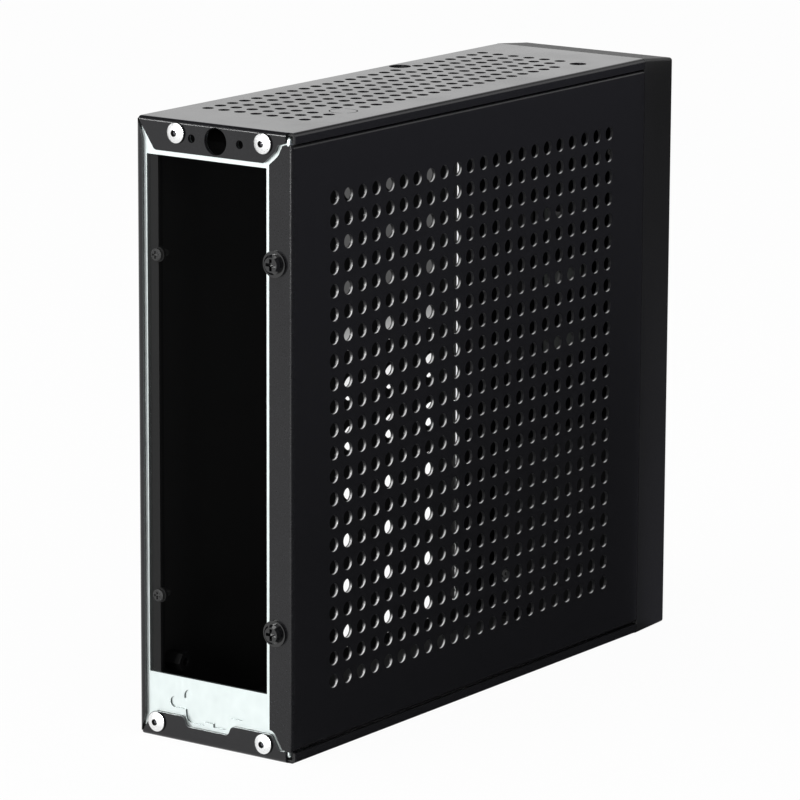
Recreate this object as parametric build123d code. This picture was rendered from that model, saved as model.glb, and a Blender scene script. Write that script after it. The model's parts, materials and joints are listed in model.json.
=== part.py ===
from build123d import *
from math import cos, hypot, radians
import os

# A slim upright computer case for a Mini-ITX board, in millimetres.
# It stands on the floor at Z = 0 with its rear to +Y and the board tray at +X.
# Most places are measured as a bench does it, looking at the rear:
# u from the tray side, w from the rear face, v up from the floor.

# Overall sizes
case_width = 58.0
case_height = 190.0
shell_depth = 188.0
panel_depth = 17.0

# Folded sheet steel
sheet = 1.0
bend_radius = 1.3
fold_gap = 0.4
slip = 0.2

# Rear flanges of the outer shell
top_flange_height = 9.7
bottom_flange_height = 8.0
tray_flange_width = 2.15
tray_flange_mitre = 6.5
side_return = 3.3
relief_width = 2.6
relief_depth = 3.6
flange_corner = 1.6
top_flange_inset = 10.6
bottom_flange_inset = 8.0
flange_end_inset = 5.4

# Standard rear input and output opening
io_side = 3.3
io_cover_strip = 10.25
io_base = 20.0
io_head = 11.25

# Rear flange of the side cover
cover_flange_width = 8.6
cover_nest_gap = 1.5
cover_edge_gap = 0.4
cover_lip = 3.0

# Perforation of the side cover
cover_hole = 4.3
cover_pitch = 7.0
cover_margin = 20.5

# Perforation of the top plate
top_hole = 3.6
top_pitch = 6.0
top_first_w = 23.3
top_last_margin = 20.7
top_first_u = 9.0
cable_hole = 7.0
cable_hole_place = (5.2, 127.0)
driver_hole = 5.4
driver_hole_place = (47.0, 165.6)
knockout_hole = 8.8
knockout_place = (44.4, 43.3)
knockout_slit = 0.35

# Round vents of the tray side
vent_hole = 8.0
vent_pitch_w = 22.0
vent_pitch_v = 16.2
vent_columns = 3
vent_rows = 10
vent_first_w = 106.8
vent_first_v = 7.9

# Socket hole in the top flange
jack_hole = 8.2
jack_u = 29.7
jack_drop = 5.1
jack_screw_hole = 2.6
jack_screw_spacing = 17.8
jack_room = 0.5

# Serial port knock-out in the rear frame
serial_u = 25.3
serial_v = 11.8
serial_top_width = 18.4
serial_bottom_width = 15.8
serial_height = 10.3
serial_drop = 0.45
serial_corner = 2.2
serial_screw_spacing = 25.0
serial_ear = 3.4
serial_push = 0.5
serial_tab = 3.4
serial_tab_shift = 0.45
serial_notch_width = 15.7
serial_notch_shift = 0.55
serial_notch_depth = 3.0

# Rear frame
frame_flange_depth = 9.0

# Fasteners
rivet_head = 6.4
rivet_dome = 1.5
rivet_shank = 3.2
rivet_bore = 2.0
rivet_tail = 2.4
rivet_flush = 5.4
rivet_top_drop = 3.9
rivet_bottom_v = 4.8
rivet_top_u = 15.2
rivet_bottom_u = 6.7
rivet_cover_inset = 10.7
screw_shank = 3.0
screw_hole = 3.4
screw_pilot = 2.6
cover_screw_inset = 6.3
cover_screw_low = 19.6
cover_screw_high = 27.75
cover_screw_washer = 8.0
cover_screw_head = 6.0
cover_screw_height = 2.4

# Ledge beside the opening, on the tray side
ledge_height = 5.7
ledge_depth = 8.0
ledge_overlap = 2.0
ledge_screw_height = 5.5
ledge_screw_low = 24.0
ledge_screw_high = 30.25
ledge_lobe = 2.3
ledge_screw_head = 3.8
ledge_screw_shank = 2.0

# Board seats
standoff_height = 6.35
standoff_flats = 5.5
standoff_thread = 2.5
standoff_thread_depth = 5.0
standoff_stud = 3.0
board_rear_w = 3.2
board_hole_w = 10.16
board_hole_step = 22.86
board_front_gap = 19.7
board_row_inset = 0.635
rail_width = 8.0
rail_back = 2.9
rail_lip = 2.4
rail_end_gap = 6.0

# Front frame
front_frame_depth = 14.0
frame_rivet_margin = 24.0
frame_rivet_back = 7.0
window_width = 26.0
window_margin = 3.0

# Hooks on the front edge of the side cover
hook_margin = 30.0
hook_width = 10.0
hook_inset = 2.2
hook_reach = 3.0

# Front panel
panel_wall = 2.0
panel_face = 2.5
panel_top_taper = 1.6
panel_bottom_taper = 0.5
panel_side_taper = 0.3
panel_round = 1.0
panel_boss = 6.5
panel_screw_inset_u = 8.0
panel_screw_inset_v = 12.0

# Controls and sockets on the front, all on its middle line, from the top down
button_drop = 30.0
button_cap = 11.8
button_gap = 0.3
button_rim = 14.0
button_rim_thickness = 1.2
button_proud = 1.0
button_travel = 1.2
button_stem = 6.0
led_drops = (52.0, 45.0)
led_diameter = 3.0
led_height = 4.0
pipe_rim = 4.4
pipe_gap = 0.1
usb_drops = (93.0, 73.0)
usb_width = 5.8
usb_length = 13.2
usb_depth = 13.0
usb_wall = 0.4
usb_tongue_length = 11.0
usb_tongue_thickness = 1.8
usb_tongue_depth = 9.0

# Front board
board_thickness = 1.6
board_width = 20.0
board_drop = 18.0
board_length = 92.0
board_to_face = 12.5
board_boss = 5.0
board_screw_drops = (105.5, 62.0)
switch_side = 8.5
switch_height = 8.0
plunger_side = 3.0
plunger_length = 7.0
plunger_gap = 0.2
header_length = 18.0
header_width = 6.0
header_height = 7.0

# Drive bracket
bracket_inset = 14.0
bracket_length = 75.0
bracket_drop = 18.0
bracket_height = 100.0
bracket_flange = 8.4
bracket_screw_margin = 12.0
drive_hole_pitch_v = 76.6
drive_hole_pitch_w = 61.7
drive_slot_length = 50.0
drive_slot_width = 10.0
drive_slot_step = 22.0

# Worked out from the sizes above
case_depth = shell_depth + panel_depth
tray_x = case_width / 2
cover_x = -case_width / 2
rear_y = (case_depth + button_proud - cover_screw_height) / 2
inner_bend = bend_radius - sheet
io_top = case_height - io_head
io_cover_side = case_width - io_cover_strip
flange_bottom_v = case_height - top_flange_height
jack_v = case_height - jack_drop
cover_screw_u = case_width - cover_screw_inset
cover_screw_vs = (io_base + cover_screw_low, io_top - cover_screw_high)
ledge_screw_vs = (io_base + ledge_screw_low, io_top - ledge_screw_high)
middle_u = case_width / 2
middle_v = case_height / 2
face_w = case_depth - panel_face
board_face_w = case_depth - panel_face - board_to_face + 1.0
web_w = shell_depth - sheet
button_v = case_height - button_drop
led_vs = [case_height - drop for drop in led_drops]
usb_vs = [case_height - drop for drop in usb_drops]
board_top_v = case_height - board_drop
board_bottom_v = board_top_v - board_length
board_screw_vs = [case_height - drop for drop in board_screw_drops]
switch_face_w = board_face_w + switch_height
rim_back_w = face_w - button_rim_thickness
stem_end_w = switch_face_w + button_travel + 0.1
plunger_end_w = stem_end_w + 1.0
board_first_w = board_rear_w + board_hole_w
board_last_w = shell_depth - board_front_gap
board_low_v = io_base + board_row_inset
board_high_v = io_top - board_row_inset
rail_start_w = board_last_w - rail_back
frame_rivet_vs = (frame_rivet_margin, middle_v, case_height - frame_rivet_margin)
frame_rivet_w = shell_depth - frame_rivet_back
hook_vs = (hook_margin, middle_v, case_height - hook_margin)
hook_u = case_width - sheet - hook_inset
frame_edge_u = case_width - bend_radius - slip
bracket_u = case_width - bracket_inset
bracket_start_w = web_w - bracket_length
bracket_top_v = case_height - bracket_drop
bracket_bottom_v = bracket_top_v - bracket_height
bracket_screw_vs = (bracket_bottom_v + bracket_screw_margin, bracket_top_v - bracket_screw_margin)

rear_plane = Plane(origin=(tray_x, rear_y, 0), x_dir=(-1, 0, 0), z_dir=(0, 1, 0))
top_plane = Plane(origin=(tray_x, rear_y, case_height), x_dir=(-1, 0, 0), z_dir=(0, 0, 1))
cover_plane = Plane(origin=(cover_x, rear_y, 0), x_dir=(0, -1, 0), z_dir=(-1, 0, 0))
tray_plane = Plane(origin=(tray_x, rear_y, 0), x_dir=(0, -1, 0), z_dir=(-1, 0, 0))


def block(u_range, w_range, v_range):
    """A plain block between two u, two w and two v values."""
    size_u = u_range[1] - u_range[0]
    size_w = w_range[1] - w_range[0]
    size_v = v_range[1] - v_range[0]
    middle = (tray_x - sum(u_range) / 2, rear_y - sum(w_range) / 2, sum(v_range) / 2)
    return Pos(*middle) * Box(size_u, size_w, size_v)


def rear_prism(outline, w_start, w_end):
    """Push an outline drawn on the rear face from one depth to another."""
    return Pos(0, -w_end, 0) * extrude(rear_plane * outline, w_end - w_start)


def rear_rod(u, v, radius, w_start, w_end):
    """A round rod that runs from the rear to the front."""
    return rear_prism(Pos(u, v) * Circle(radius), w_start, w_end)


def side_rod(w, v, radius, u_start, u_end):
    """A round rod that runs across the case."""
    rod = extrude(tray_plane * Pos(w, v) * Circle(radius), u_end - u_start)
    return Pos(-u_start, 0, 0) * rod


def rounded_box(u_range, w_range, v_range, radius, keep_front=True):
    """A block with rounded folds and a sharp free edge at one end."""
    box = block(u_range, w_range, v_range)
    sorted_faces = box.faces().sort_by(Axis.Y)
    free_face = sorted_faces[0] if keep_front else sorted_faces[-1]
    free_edges = free_face.edges()
    folds = [edge for edge in box.edges() if edge not in free_edges]
    return fillet(folds, radius)


def folded_tray(u_range, w_range, v_range, open_front=True):
    """A sheet folded up on four sides round one closed end."""
    outer = rounded_box(u_range, w_range, v_range, bend_radius, open_front)
    inner_u = (u_range[0] + sheet, u_range[1] - sheet)
    inner_v = (v_range[0] + sheet, v_range[1] - sheet)
    if open_front:
        inner_w = (w_range[0] + sheet, w_range[1] + sheet)
    else:
        inner_w = (w_range[0] - sheet, w_range[1] - sheet)
    return outer - rounded_box(inner_u, inner_w, inner_v, inner_bend, open_front)


def top_flange_outline():
    """Rear flange under the top plate, with a stepped end at the cover."""
    step_u = case_width - relief_width
    step_v = case_height - relief_depth
    points = [
        (0.9, case_height + 1),
        (0.9, case_height - 0.7),
        (6.9, flange_bottom_v),
        (case_width - top_flange_inset, flange_bottom_v),
        (case_width - flange_end_inset - 1.0, flange_bottom_v + 3.7),
        (case_width - flange_end_inset, step_v),
        (step_u, step_v),
        (step_u, case_height + 1),
    ]
    outline = make_face(Polyline(*points, close=True))
    bends = outline.vertices().sort_by(Axis.Y)[0:5]
    return fillet(bends, flange_corner)


def bottom_flange_outline():
    """Rear flange above the floor, notched for the serial port."""
    step_u = case_width - relief_width
    notch_v = bottom_flange_height - serial_notch_depth
    notch_low = serial_u + serial_notch_shift - serial_notch_width / 2
    notch_high = notch_low + serial_notch_width
    points = [
        (0.9, -1),
        (0.9, 0.7),
        (5.4, bottom_flange_height),
        (notch_low - 1.3, bottom_flange_height),
        (notch_low, notch_v),
        (notch_high, notch_v),
        (notch_high + 1.3, bottom_flange_height),
        (case_width - bottom_flange_inset, bottom_flange_height),
        (case_width - flange_end_inset, relief_depth),
        (step_u, relief_depth),
        (step_u, -1),
    ]
    outline = make_face(Polyline(*points, close=True))
    bends = outline.vertices().sort_by(Axis.Y)[5:]
    return fillet(bends, flange_corner)


def tray_flange_outline():
    """Narrow rear flange along the tray side, mitred at both ends."""
    points = [
        (-1, 0.9),
        (0.4, 0.9),
        (tray_flange_width, tray_flange_mitre),
        (tray_flange_width, case_height - tray_flange_mitre),
        (0.4, case_height - 0.9),
        (-1, case_height - 0.9),
    ]
    return make_face(Polyline(*points, close=True))


def hole_group(places, diameter):
    """Round holes of one size at many places."""
    return [Pos(*place) * Circle(diameter / 2) for place in places]


def top_hole_places():
    """Grid of the top plate, without the holes that larger features replace."""
    features = [
        (cable_hole_place, cable_hole / 2),
        (driver_hole_place, driver_hole / 2),
        (knockout_place, knockout_hole / 2),
    ]
    places = []
    count_u = whole_steps(case_width - 2 * top_first_u, top_pitch)
    count_w = whole_steps(shell_depth - top_first_w - top_last_margin, top_pitch)
    for u, w in grid_places(top_first_u, top_first_w, top_pitch, top_pitch, count_u, count_w):
        gaps = [
            hypot(u - place[0], w - place[1]) - radius - top_hole / 2
            for place, radius in features
        ]
        if min(gaps) > 0.3:
            places.append((u, w))
    return places


def whole_steps(length, pitch):
    """Number of holes at a pitch that fit in a length, with one at each end."""
    return int(length / pitch + 0.01) + 1


def grid_places(first_x, first_y, pitch_x, pitch_y, count_x, count_y):
    """Places of a plain grid."""
    places = []
    for i in range(count_x):
        for j in range(count_y):
            places.append((first_x + i * pitch_x, first_y + j * pitch_y))
    return places


def punch(solid, plane, outlines):
    """Punch outlines, drawn on an outer face, through one sheet."""
    start = plane.offset(slip)
    tools = [extrude(start * outline, -sheet - 2 * slip) for outline in outlines]
    return solid - tools


def knockout_ring():
    """Half-cut disc in the top plate: a ring slit with two bridges."""
    radius = knockout_hole / 2
    ring = Circle(radius) - Circle(radius - knockout_slit)
    bridge = Rectangle(1.6, knockout_hole + 2)
    return Pos(*knockout_place) * Rot(0, 0, 40) * (ring - bridge)


def board_seat_places():
    """The four places (w, v) where a Mini-ITX board is screwed down."""
    return [
        (board_first_w, board_low_v),
        (board_first_w + board_hole_step, board_high_v),
        (board_last_w, board_low_v),
        (board_last_w, board_high_v),
    ]


def build_outer_shell():
    """Top, tray side and floor folded from one sheet, with rear flanges."""
    shell = folded_tray((0, case_width), (0, shell_depth), (0, case_height))
    whole = Pos(case_width / 2, case_height / 2) * Rectangle(case_width + 2, case_height + 2)
    keep = top_flange_outline() + bottom_flange_outline() + tray_flange_outline()
    shell -= rear_prism(whole - keep, -1, sheet + inner_bend)
    shell -= block(
        (case_width - sheet - inner_bend, case_width + 1),
        (-1, shell_depth + 1),
        (side_return, case_height - side_return),
    )
    top_holes = hole_group(top_hole_places(), top_hole)
    top_holes.append(Pos(*cable_hole_place) * Circle(cable_hole / 2))
    top_holes.append(Pos(*driver_hole_place) * Circle(driver_hole / 2))
    top_holes.append(knockout_ring())
    shell = punch(shell, top_plane, top_holes)
    tray_places = grid_places(
        vent_first_w, vent_first_v, vent_pitch_w, vent_pitch_v, vent_columns, vent_rows
    )
    tray_holes = [(w, v, vent_hole / 2) for w, v in tray_places]
    tray_holes += [(w, v, standoff_stud / 2 + pipe_gap) for w, v in board_seat_places()]
    shell -= [side_rod(w, v, radius, -slip, sheet + slip) for w, v, radius in tray_holes]
    shell -= rivet_sinks()
    shell -= socket_holes(-1, sheet + slip)
    shell -= rivet_holes(-1, sheet + slip)
    return shell


def socket_holes(w_start, w_end, room=0.0):
    """Round socket hole with a screw hole on each side."""
    holes = rear_rod(jack_u, jack_v, jack_hole / 2 + room, w_start, w_end)
    for side in (-1, 1):
        u = jack_u + side * jack_screw_spacing / 2
        holes += rear_rod(u, jack_v, jack_screw_hole / 2 + room, w_start, w_end)
    return holes


def rivet_places():
    """Rear rivets as (u, v)."""
    top_v = case_height - rivet_top_drop
    cover_side_u = case_width - rivet_cover_inset
    return [
        (rivet_top_u, top_v),
        (cover_side_u, top_v),
        (rivet_bottom_u, rivet_bottom_v),
        (cover_side_u, rivet_bottom_v),
    ]


def rivet_holes(w_start, w_end):
    """Clearance for the rear rivets."""
    holes = []
    for u, v in rivet_places():
        holes.append(rear_rod(u, v, rivet_shank / 2 + pipe_gap, w_start, w_end))
    return holes


def build_side_cover():
    """Perforated cover with a rear flange, two stiffening lips and hooks."""
    low = side_return + cover_edge_gap
    high = case_height - side_return - cover_edge_gap
    edge_u = case_width - cover_flange_width
    cover = block((edge_u, case_width), (0, shell_depth - slip), (low, high))
    folds = cover.edges().filter_by_position(Axis.X, cover_x - 0.01, cover_x + 0.01)
    front_y = rear_y - shell_depth + slip
    folds = [edge for edge in folds if abs(edge.center().Y - front_y) > 0.01]
    cover = fillet(folds, bend_radius)
    hollow = block(
        (edge_u - 1, case_width - sheet),
        (sheet, shell_depth + 1),
        (low + sheet, high - sheet),
    )
    hollow_folds = hollow.edges().filter_by_position(Axis.X, cover_x + 0.99, cover_x + 1.01)
    hollow_front = hollow.faces().sort_by(Axis.Y)[0].center().Y
    hollow_folds = [e for e in hollow_folds if abs(e.center().Y - hollow_front) > 0.01]
    cover -= fillet(hollow_folds, inner_bend)
    lip_start = sheet + frame_flange_depth + 3
    for edge in (low, high - sheet):
        lip = (edge - 0.1, edge + sheet + 0.1)
        cover -= block((edge_u - 1, case_width - cover_lip), (sheet, shell_depth + 1), lip)
        cover -= block((edge_u - 1, case_width - bend_radius), (sheet, lip_start), lip)
        cover -= block(
            (edge_u - 1, case_width - bend_radius),
            (shell_depth - front_frame_depth - 1, shell_depth + 1),
            lip,
        )
    nests = nest_outline(top_flange_outline()) + nest_outline(bottom_flange_outline())
    cover -= rear_prism(nests, -1, sheet + inner_bend)
    for v in cover_screw_vs:
        cover -= rear_rod(cover_screw_u, v, screw_hole / 2, -1, sheet + slip)
    for v in hook_vs:
        cover += cover_hook(v)
    return punch(cover, cover_plane, hole_group(cover_hole_places(), cover_hole))


def nest_outline(flange):
    """Room in the cover's flange: wide along the slope, narrow at the stepped end."""
    slope_end = case_width - flange_end_inset
    window = Pos(slope_end / 2, middle_v) * Rectangle(slope_end, case_height + 2)
    return offset(flange & window, cover_nest_gap) + offset(flange, cover_edge_gap)


def cover_hole_places():
    """Square grid centred on the side of the shell."""
    columns = whole_steps(shell_depth - 2 * cover_margin, cover_pitch)
    rows = whole_steps(case_height - 2 * cover_margin, cover_pitch)
    first_w = (shell_depth - (columns - 1) * cover_pitch) / 2
    first_v = (case_height - (rows - 1) * cover_pitch) / 2
    return grid_places(first_w, first_v, cover_pitch, cover_pitch, columns, rows)


def cover_hook(v):
    """Hook that steps inwards and reaches forward through the front frame."""
    half = hook_width / 2
    heel_w = web_w - 3.0
    heel = block((hook_u - sheet, case_width - sheet), (heel_w - sheet, heel_w), (v - half, v + half))
    tongue_w = (heel_w - sheet, shell_depth + hook_reach)
    return heel + block((hook_u - sheet, hook_u), tongue_w, (v - half, v + half))


def serial_outline():
    """Outline of the nine-pin serial port with its two screw ears."""
    half_top = serial_top_width / 2
    half_bottom = serial_bottom_width / 2
    half_height = serial_height / 2
    points = [
        (-half_bottom, -half_height),
        (half_bottom, -half_height),
        (half_top, half_height),
        (-half_top, half_height),
    ]
    body = make_face(Polyline(*points, close=True))
    body = Pos(0, -serial_drop) * fillet(body.vertices(), serial_corner)
    ears = SlotCenterToCenter(serial_screw_spacing, serial_ear)
    tab = Pos(serial_tab_shift, -half_height - serial_drop) * Rectangle(serial_tab, 2.0)
    return Pos(serial_u, serial_v) * (body + ears - tab)


def build_rear_frame():
    """Galvanised frame round the rear opening, folded forward on three sides."""
    frame = folded_tray(
        (sheet + slip, frame_edge_u),
        (sheet, sheet + frame_flange_depth),
        (sheet + slip, case_height - sheet - slip),
    )
    opening_u = (io_side, io_cover_side)
    frame -= block(opening_u, (0, 2 * sheet + 1), (io_base, io_top))
    tray_fold = (0, sheet + slip + bend_radius)
    frame -= block(tray_fold, (2 * sheet, frame_flange_depth + 2), (-1, case_height + 1))
    edge_v = sheet + slip + bend_radius
    edge_u = (sheet + slip + inner_bend, io_side)
    frame += block(edge_u, (sheet, 2 * sheet), (edge_v, case_height - edge_v))
    frame += rear_prism(serial_outline(), 2 * sheet - 0.1, 2 * sheet + serial_push)
    frame -= rear_prism(serial_outline(), 0, sheet + serial_push)
    frame -= socket_holes(0, 2 * sheet + 1, jack_room)
    socket_u = (jack_u - jack_hole, jack_u + jack_hole)
    frame -= block(socket_u, (2 * sheet, frame_flange_depth + 2), (jack_v, case_height))
    frame -= rivet_holes(0, 2 * sheet + 1)
    for u, v in rivet_places():
        notch_w = (2 * sheet, 2 * sheet + rivet_tail + 1)
        outward = (v - 3, case_height) if v > middle_v else (0, v + 3)
        frame -= block((u - 3, u + 3), notch_w, outward)
    for v in cover_screw_vs:
        frame -= rear_rod(cover_screw_u, v, screw_shank / 2 + pipe_gap, 0, 2 * sheet + 1)
    return frame


def build_rear_rivets():
    """Blind rivets: domed head, hollow shank and the bulb behind the sheets."""
    rivets = []
    for u, v in rivet_places():
        profile = [
            (0, -2 * sheet - rivet_tail),
            (rivet_shank / 2 + 0.5, -2 * sheet - rivet_tail),
            (rivet_shank / 2 + 0.5, -2 * sheet),
            (rivet_shank / 2, -2 * sheet),
            (rivet_shank / 2, 0),
            (rivet_head / 2, 0),
            (rivet_head / 2, 0.45),
        ]
        side = Polyline(*profile)
        crown = ThreePointArc(
            (rivet_head / 2, 0.45),
            (rivet_head / 4, rivet_dome - 0.25),
            (0, rivet_dome),
        )
        half = make_face(Plane.XZ * (side + crown + Line((0, rivet_dome), profile[0])))
        rivet = revolve(half, Axis.Z)
        rivet -= Pos(0, 0, rivet_dome) * Cylinder(rivet_bore / 2, 2.0)
        rivet += Pos(0, 0, 0.6) * Cylinder(rivet_bore / 4, 0.6)
        rivets.append(Pos(tray_x - u, rear_y, v) * Rot(-90, 0, 0) * rivet)
    return Compound(children=rivets)


def pan_screw(head, height, shank, length, washer=0.0):
    """Pan-head screw along Z, head up, with a cross recess."""
    screw = Pos(0, 0, height / 2) * Cylinder(head / 2, height)
    screw = chamfer(screw.edges().sort_by(Axis.Z)[-1], height * 0.3)
    if washer > head:
        screw += Pos(0, 0, 0.4) * Cylinder(washer / 2, 0.8)
    screw -= Pos(0, 0, height) * Box(head * 0.6, head * 0.16, height)
    screw -= Pos(0, 0, height) * Box(head * 0.16, head * 0.6, height)
    return screw + Pos(0, 0, -length / 2) * Cylinder(shank / 2, length)


def build_cover_screws():
    """Two screws that hold the rear flange of the side cover."""
    screws = []
    for v in cover_screw_vs:
        screw = pan_screw(
            cover_screw_head, cover_screw_height, screw_shank, 6.0, cover_screw_washer
        )
        screws.append(Pos(tray_x - cover_screw_u, rear_y, v) * Rot(-90, 0, 0) * screw)
    return Compound(children=screws)


def build_tray_ledge():
    """Folded strip beside the opening, level with the underside of the board."""
    back_w = 2 * sheet
    low = io_base - ledge_overlap
    high = io_top + ledge_overlap
    foot_u = sheet
    web = block((foot_u, foot_u + ledge_height), (back_w, back_w + sheet), (low, high))
    leg = block((foot_u, foot_u + sheet), (back_w, back_w + ledge_depth), (low, high))
    ledge = web + leg
    for v in ledge_screw_vs:
        ledge += rear_rod(foot_u + ledge_screw_height, v, ledge_lobe, back_w, back_w + sheet)
    for v in ledge_screw_vs:
        radius = ledge_screw_shank / 2 + pipe_gap
        ledge -= rear_rod(foot_u + ledge_screw_height, v, radius, back_w - 1, back_w + 2)
    return ledge


def build_ledge_screws():
    """Two small screws in the lobes of the ledge."""
    screws = []
    for v in ledge_screw_vs:
        screw = pan_screw(ledge_screw_head, 1.4, ledge_screw_shank, 4.0)
        place = Pos(tray_x - sheet - ledge_screw_height, rear_y - 2 * sheet, v)
        screws.append(place * Rot(-90, 0, 0) * screw)
    return Compound(children=screws)


def build_standoff_rail():
    """Galvanised angle across the tray, round the two front board seats."""
    low = sheet + rail_end_gap
    high = case_height - sheet - rail_end_gap
    base = block((sheet, 2 * sheet), (rail_start_w, rail_start_w + rail_width), (low, high))
    lip = block((sheet, sheet + rail_lip), (rail_start_w, rail_start_w + sheet), (low, high))
    rail = base + lip
    for w, v in board_seat_places()[2:]:
        clearance = standoff_flats / 2 / cos(radians(30)) + slip
        rail -= side_rod(w, v, clearance, 0, sheet + rail_lip + 1)
    return rail


def build_board_standoffs():
    """Four hexagonal standoffs with a threaded hole and a stud in the tray."""
    standoffs = []
    for w, v in board_seat_places():
        hexagon = Pos(w, v) * RegularPolygon(standoff_flats / 2 / cos(radians(30)), 6)
        body = Pos(-sheet, 0, 0) * extrude(tray_plane * hexagon, standoff_height)
        body += side_rod(w, v, standoff_stud / 2, 0, sheet)
        top = sheet + standoff_height
        body -= side_rod(w, v, standoff_thread / 2, top - standoff_thread_depth, top + 1)
        standoffs.append(body)
    return Compound(children=standoffs)


def window_range():
    """Heights of the window behind the front board."""
    return (board_bottom_v - window_margin, board_top_v + window_margin)


def panel_screw_places():
    """Screws that hold the front panel, as (u, v)."""
    us = (panel_screw_inset_u, case_width - panel_screw_inset_u)
    vs = (panel_screw_inset_v, case_height - panel_screw_inset_v)
    return [(u, v) for u in us for v in vs]


def build_front_frame():
    """Folded frame that closes the front of the shell and carries the panel."""
    frame = folded_tray(
        (sheet + slip, frame_edge_u),
        (shell_depth - front_frame_depth, shell_depth),
        (sheet + slip, case_height - sheet - slip),
        open_front=False,
    )
    cover_fold = (frame_edge_u - bend_radius, case_width)
    flange_w = (0, web_w)
    frame -= block(cover_fold, flange_w, (-1, case_height + 1))
    window_u = (middle_u - window_width / 2, middle_u + window_width / 2)
    frame -= block(window_u, (web_w - 1, shell_depth + 1), window_range())
    for v in hook_vs:
        half = hook_width / 2 + slip
        slot_u = (hook_u - sheet - slip, hook_u + slip)
        frame -= block(slot_u, (web_w - 1, shell_depth + 1), (v - half, v + half))
    for u, v in panel_screw_places():
        frame -= rear_rod(u, v, screw_hole / 2, web_w - 1, shell_depth + 1)
    for v in bracket_screw_vs:
        frame -= rear_rod(bracket_screw_u(), v, screw_hole / 2, web_w - 1, shell_depth + 1)
    for v in frame_rivet_vs:
        frame -= side_rod(frame_rivet_w, v, rivet_shank / 2 + pipe_gap, 0, 3 * sheet)
    return frame


def bracket_screw_u():
    """Middle of the bracket's front flange."""
    return bracket_u + sheet + (bracket_flange - sheet) / 2


def build_frame_rivets():
    """Flush rivets that join the front frame to the tray side of the shell."""
    rivets = []
    grip = 2 * sheet + slip
    for v in frame_rivet_vs:
        head = Pos(0, 0, -sheet / 2) * Cone(rivet_shank / 2, rivet_flush / 2, sheet)
        shank = Pos(0, 0, -(grip + 1) / 2) * Cylinder(rivet_shank / 2, grip + 1)
        tail = Pos(0, 0, -grip - 0.6) * Cylinder(rivet_shank / 2 + 0.5, 1.2)
        place = Pos(tray_x, rear_y - frame_rivet_w, v)
        rivets.append(place * Rot(0, 90, 0) * (head + shank + tail))
    return Compound(children=rivets)


def rivet_sinks():
    """Countersinks for the flush rivets, a little wider than their heads."""
    sinks = []
    for v in frame_rivet_vs:
        sink = Pos(0, 0, -sheet / 2) * Cone(
            rivet_shank / 2 + pipe_gap, rivet_flush / 2 + pipe_gap, sheet
        )
        sinks.append(Pos(tray_x, rear_y - frame_rivet_w, v) * Rot(0, 90, 0) * sink)
    return sinks


def panel_section(w, wall):
    """Outline of the tapered front panel at a depth, inside a wall."""
    share = (w - shell_depth) / panel_depth
    low = panel_bottom_taper * share + wall
    high = case_height - panel_top_taper * share - wall
    width = case_width - 2 * (panel_side_taper * share + wall)
    outline = Pos(middle_u, (low + high) / 2) * Rectangle(width, high - low)
    return Pos(0, -w, 0) * (rear_plane * outline)


def build_front_panel():
    """Moulded front panel: tapered shell, bosses and openings."""
    outer = loft([panel_section(shell_depth, 0), panel_section(case_depth, 0)])
    back_y = rear_y - shell_depth
    corners = [edge for edge in outer.edges() if abs(edge.center().Y - back_y) > 1]
    outer = fillet(corners, panel_round)
    outer -= loft([panel_section(shell_depth - 1, panel_wall), panel_section(face_w, panel_wall)])
    inner_w = face_w
    for u, v in panel_screw_places():
        outer += rear_rod(u, v, panel_boss / 2, shell_depth, inner_w + 0.5)
    for v in board_screw_vs:
        outer += rear_rod(middle_u, v, board_boss / 2, board_face_w, inner_w + 0.5)
    for u, v in panel_screw_places():
        outer -= rear_rod(u, v, screw_pilot / 2, shell_depth - 1, inner_w - 1)
    for v in board_screw_vs:
        outer -= rear_rod(middle_u, v, ledge_screw_shank / 2, board_face_w - 1, inner_w - 1)
    outer -= rear_rod(middle_u, button_v, button_cap / 2 + button_gap, inner_w - 2, case_depth + 1)
    for v in led_vs:
        outer -= rear_rod(middle_u, v, led_diameter / 2 + pipe_gap, inner_w - 1, case_depth + 1)
    for v in usb_vs:
        half_u = usb_width / 2 + slip
        half_v = usb_length / 2 + slip
        outer -= block(
            (middle_u - half_u, middle_u + half_u),
            (inner_w - 1, case_depth + 1),
            (v - half_v, v + half_v),
        )
    return outer


def build_panel_screws():
    """Four screws from behind the front frame into the panel's bosses."""
    screws = []
    for u, v in panel_screw_places():
        screw = pan_screw(5.6, 2.0, screw_pilot, 9.0)
        place = Pos(tray_x - u, rear_y - web_w, v)
        screws.append(place * Rot(-90, 0, 0) * screw)
    return Compound(children=screws)


def build_front_board():
    """Small circuit board that carries the switch, lights and sockets."""
    half = board_width / 2
    back_w = board_face_w - board_thickness
    board = block(
        (middle_u - half, middle_u + half), (back_w, board_face_w), (board_bottom_v, board_top_v)
    )
    board = fillet(board.edges().filter_by(Axis.Y), 1.5)
    for v in board_screw_vs:
        board -= rear_rod(middle_u, v, ledge_screw_shank / 2 + slip, back_w - 1, board_face_w + 1)
    return board


def build_board_screws():
    """Two screws that hold the front board to its bosses."""
    screws = []
    for v in board_screw_vs:
        screw = pan_screw(4.0, 1.6, ledge_screw_shank - 0.1, 6.0)
        place = Pos(tray_x - middle_u, rear_y - board_face_w + board_thickness, v)
        screws.append(place * Rot(-90, 0, 0) * screw)
    return Compound(children=screws)


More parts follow.
